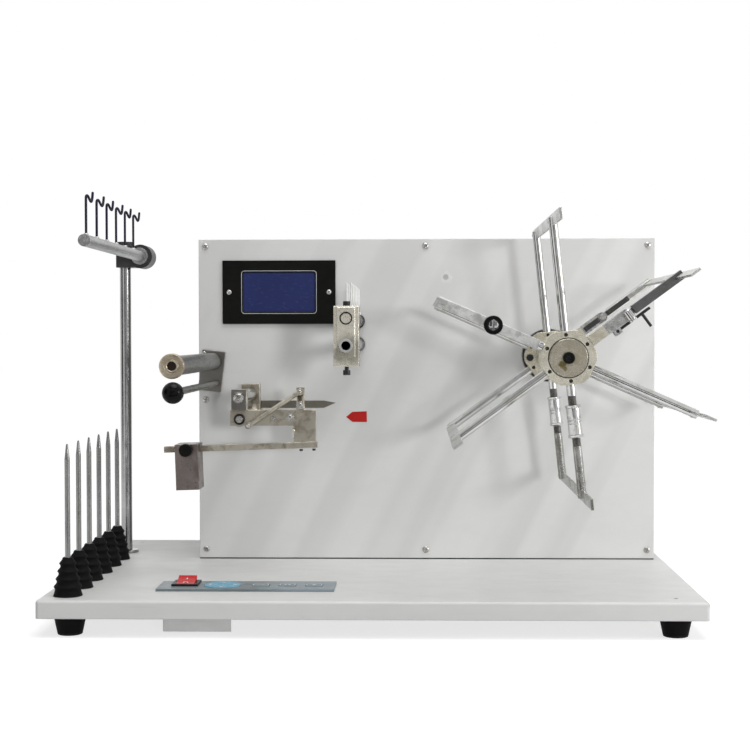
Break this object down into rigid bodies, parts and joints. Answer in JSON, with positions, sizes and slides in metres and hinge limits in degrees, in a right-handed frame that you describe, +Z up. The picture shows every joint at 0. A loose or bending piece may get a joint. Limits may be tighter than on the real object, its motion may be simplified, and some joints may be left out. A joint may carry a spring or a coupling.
{
  "type": "yarn length tester",
  "caption": "Bench yarn reel with a folding winding reel, tension balance, traverse guide, creel of spindles and an upright drive cabinet on a sheet base.",
  "frame": {"origin": "centre of the base tray on the bench plane, midway between the four feet", "axes": "+X to the right along the panel, +Y to the back, +Z up; the operator stands at -Y"},
  "size_m": [0.8, 0.659, 0.5357],
  "materials": {
    "powder_coat": "satin powder coat",
    "foot_rubber": "matt",
    "screw_steel": "zinc plated",
    "black_trim": "satin",
    "window": "polished",
    "board": "matt",
    "strip": "printed film",
    "grey_box": "satin",
    "spindle_steel": "ground",
    "chrome": "polished",
    "black_metal": "satin",
    "aluminium": "turned",
    "tension_steel": "drawn",
    "cap_brass": "aged",
    "ball": "polished",
    "aged_nickel": "aged nickel",
    "nickel": "stained nickel",
    "ceramic": "glazed",
    "arm_grey": "satin",
    "shaft_steel": "ground",
    "housing": "painted",
    "motor_case": "painted",
    "belt": "matt",
    "red": "moulded"
  },
  "bodies": {
    "root": {"base_tray": "powder_coat", "rubber_feet": "foot_rubber", "cabinet_shell": "powder_coat", "front_panel": "powder_coat", "back_cover": "powder_coat", "case_screws": "screw_steel", "display_bezel": "black_trim", "display_window": "window", "control_board": "board", "keypad_strip": "strip", "switch_frame": "black_trim", "wiring_box": "grey_box", "mains_inlet": "black_trim", "spindle_pins": "spindle_steel", "spindle_cones": "foot_rubber", "creel_post": "chrome", "balance_pivot": "chrome", "traverse_tube": "nickel", "traverse_bracket": "nickel", "traverse_screws": "black_metal", "bearing_housing": "housing", "drive_motor": "motor_case", "drive_belt": "belt", "traverse_motor": "motor_case"},
    "rocker": {"power_rocker": "red"},
    "pad": {"arrow_pad": "strip"},
    "key_a": {"left_key": "strip"},
    "key_b": {"middle_key": "strip"},
    "key_c": {"right_key": "strip"},
    "clamp": {"cross_clamp": "black_metal"},
    "hooks": {"hook_bar": "aluminium", "yarn_hooks": "black_metal"},
    "tension": {"tension_plate": "tension_steel", "tension_rods": "tension_steel", "tension_cap": "cap_brass", "ball_knob": "ball"},
    "balance": {"balance_lever": "aged_nickel", "balance_beam": "aged_nickel", "pointer": "aged_nickel"},
    "roller": {"yarn_roller": "chrome"},
    "poise": {"poise_weight": "aged_nickel", "thumb_screw": "black_metal"},
    "traverse": {"traverse_rod": "nickel", "yarn_forks": "ceramic"},
    "cam": {"heart_cam": "housing"},
    "reel": {"reel_shaft": "shaft_steel", "reel_hub": "nickel", "hub_cap": "nickel", "hub_screws": "black_metal", "arm_rods": "chrome", "winding_bars": "chrome", "yarn_clip": "black_metal", "knee_forks": "nickel", "knee_pins": "screw_steel"},
    "adjuster": {"adjusting_arm": "chrome"},
    "sleeve_front": {"front_sleeve": "chrome"},
    "sleeve_rear": {"rear_sleeve": "chrome"},
    "folder": {"folding_arm": "arm_grey"},
    "release": {"release_lever": "black_metal"},
    "motor": {"motor_pulley": "shaft_steel"}
  },
  "joints": [
    {"name": "rocker_tip", "type": "hinge", "parent": "root", "child": "rocker", "pos_m": [-0.2345, -0.1625, 0.0495], "axis": [-1, 0, 0], "range_deg": [0, 25]},
    {"name": "pad_press", "type": "slide", "parent": "root", "child": "pad", "axis": [0, 0, -1], "range_m": [0, 0.0005], "stiffness_N_per_m": 300, "springref_m": -0.0005},
    {"name": "left_key_press", "type": "slide", "parent": "root", "child": "key_a", "axis": [0, 0, -1], "range_m": [0, 0.0005], "stiffness_N_per_m": 300, "springref_m": -0.0005},
    {"name": "middle_key_press", "type": "slide", "parent": "root", "child": "key_b", "axis": [0, 0, -1], "range_m": [0, 0.0005], "stiffness_N_per_m": 300, "springref_m": -0.0005},
    {"name": "right_key_press", "type": "slide", "parent": "root", "child": "key_c", "axis": [0, 0, -1], "range_m": [0, 0.0005], "stiffness_N_per_m": 300, "springref_m": -0.0005},
    {"name": "clamp_height", "type": "slide", "parent": "root", "child": "clamp", "axis": [0, 0, 1], "range_m": [-0.15, 0]},
    {"name": "bar_roll", "type": "hinge", "parent": "clamp", "child": "hooks", "pos_m": [-0.343, 0.1365, 0.4745], "axis": [0, 1, 0], "range_deg": [-30, 30]},
    {"name": "tension_turn", "type": "hinge", "parent": "root", "child": "tension", "pos_m": [-0.232, 0.07, 0.324], "axis": [0, 1, 0], "range_deg": [-90, 90]},
    {"name": "balance_tilt", "type": "hinge", "parent": "root", "child": "balance", "pos_m": [-0.176, 0, 0.251], "axis": [0, 1, 0], "range_deg": [0, 12]},
    {"name": "roller_spin", "type": "hinge", "parent": "balance", "child": "roller", "pos_m": [-0.176, 0, 0.279], "axis": [0, 1, 0], "continuous": true},
    {"name": "poise_slide", "type": "slide", "parent": "balance", "child": "poise", "axis": [0.9995, 0, 0.0332], "range_m": [-0.012, 0.1]},
    {"name": "traverse_slide", "type": "slide", "parent": "root", "child": "traverse", "axis": [0, -1, 0], "range_m": [0, 0.035]},
    {"name": "cam_turn", "type": "hinge", "parent": "root", "child": "cam", "pos_m": [-0.028, 0.1649, 0.358], "axis": [0, 0, 1], "range_deg": [0, 180]},
    {"name": "reel_spin", "type": "hinge", "parent": "root", "child": "reel", "pos_m": [0.2295, 0, 0.3335], "axis": [0, 1, 0], "continuous": true},
    {"name": "motor_spin", "type": "hinge", "parent": "root", "child": "motor", "pos_m": [0.2295, 0.15, 0.155], "axis": [0, 1, 0], "continuous": true},
    {"name": "arm_adjust", "type": "slide", "parent": "reel", "child": "adjuster", "axis": [0.108, 0, -0.9942], "range_m": [-0.002, 0.002]},
    {"name": "front_sleeve_turn", "type": "hinge", "parent": "reel", "child": "sleeve_front", "pos_m": [0.23749, -0.293, 0.25993], "axis": [0.108, 0, -0.9942], "range_deg": [-360, 360]},
    {"name": "rear_sleeve_turn", "type": "hinge", "parent": "reel", "child": "sleeve_rear", "pos_m": [0.23749, -0.055, 0.25993], "axis": [0.108, 0, -0.9942], "range_deg": [-360, 360]},
    {"name": "knee_fold", "type": "hinge", "parent": "reel", "child": "folder", "pos_m": [0.29809, -0.174, 0.3837], "axis": [0, -1, 0], "range_deg": [0, 75]},
    {"name": "release_swing", "type": "hinge", "parent": "reel", "child": "release", "pos_m": [0.28646, -0.293, 0.36404], "axis": [0, 1, 0], "range_deg": [0, 10], "stiffness_Nm_per_rad": 0.08, "springref_deg": -8.59}
  ],
  "couplings": [
    {"joint": "cam_turn", "follows": "traverse_slide", "rad_per_m": 89.76},
    {"joint": "motor_spin", "follows": "reel_spin", "ratio": 2.5},
    {"joint": "front_sleeve_turn", "follows": "arm_adjust", "rad_per_m": 3141.6},
    {"joint": "rear_sleeve_turn", "follows": "arm_adjust", "rad_per_m": 3141.6}
  ]
}
